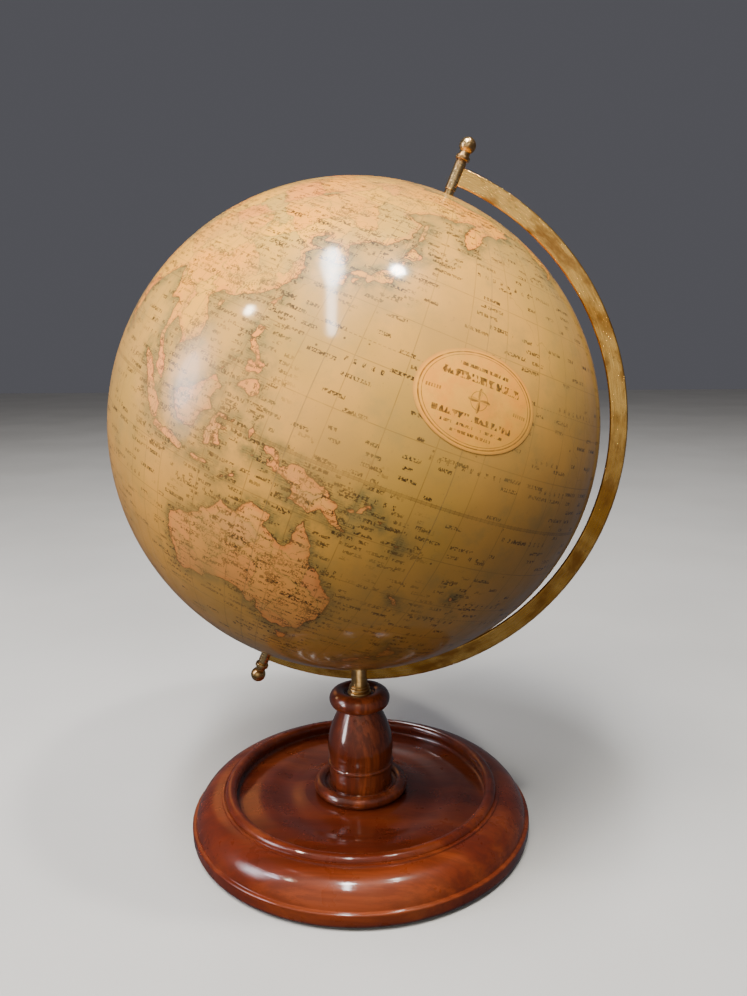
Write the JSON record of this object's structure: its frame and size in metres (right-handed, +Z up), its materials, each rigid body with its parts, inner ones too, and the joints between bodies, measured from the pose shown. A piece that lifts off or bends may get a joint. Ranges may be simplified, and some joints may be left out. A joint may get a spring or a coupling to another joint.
{
  "type": "table globe",
  "caption": "Terrestrial globe on a brass half meridian with ball-headed pivots, turned mahogany pillar and round dished base.",
  "frame": {"origin": "centre of the underside of the base, on the surface it stands on", "axes": "+Z up along the stem and pillar; the brass half meridian lies in the XZ plane on the +X side, and the polar axis tilts 22.5 degrees from +Z towards +X"},
  "size_m": [0.3775, 0.3556, 0.5249],
  "materials": {
    "mahogany": "French-polished red-brown mahogany, high gloss",
    "baize": "green wool baize",
    "screw_steel": "dull oiled steel",
    "brass": "lacquered turned brass, slightly aged",
    "shell_board": "papier-mache with a gesso skin",
    "pasteboard": "bent pasteboard",
    "post_wood": "plain turned beech",
    "map_paper": "printed paper under aged glossy varnish",
    "label_paper": "blank tan paper under glossy varnish"
  },
  "bodies": {
    "stand": {"base": "mahogany", "baize_pad": "baize", "pillar": "mahogany", "pillar_screw": "screw_steel", "screw_washer": "screw_steel", "stem": "brass", "stem_collar": "brass", "stem_pins": "brass", "meridian_arm": "brass", "upper_boss": "brass", "lower_boss": "brass", "upper_lock_ring": "brass", "lower_lock_ring": "brass", "upper_pivot": "brass", "lower_pivot": "brass"},
    "globe": {"north_shell": "shell_board", "south_shell": "shell_board", "equator_hoop": "pasteboard", "axis_post": "post_wood", "north_bush": "brass", "south_bush": "brass", "gore_01": "map_paper", "gore_02": "map_paper", "gore_03": "map_paper", "gore_04": "map_paper", "gore_05": "map_paper", "gore_06": "map_paper", "gore_07": "map_paper", "gore_08": "map_paper", "gore_09": "map_paper", "gore_10": "map_paper", "gore_11": "map_paper", "gore_12": "map_paper", "north_cap": "map_paper", "south_cap": "map_paper", "title_label": "label_paper"}
  },
  "joints": [
    {"name": "globe_spin", "type": "hinge", "parent": "stand", "child": "globe", "pos_m": [0, 0, 0.321], "axis": [0.3827, 0, 0.9239], "continuous": true}
  ]
}
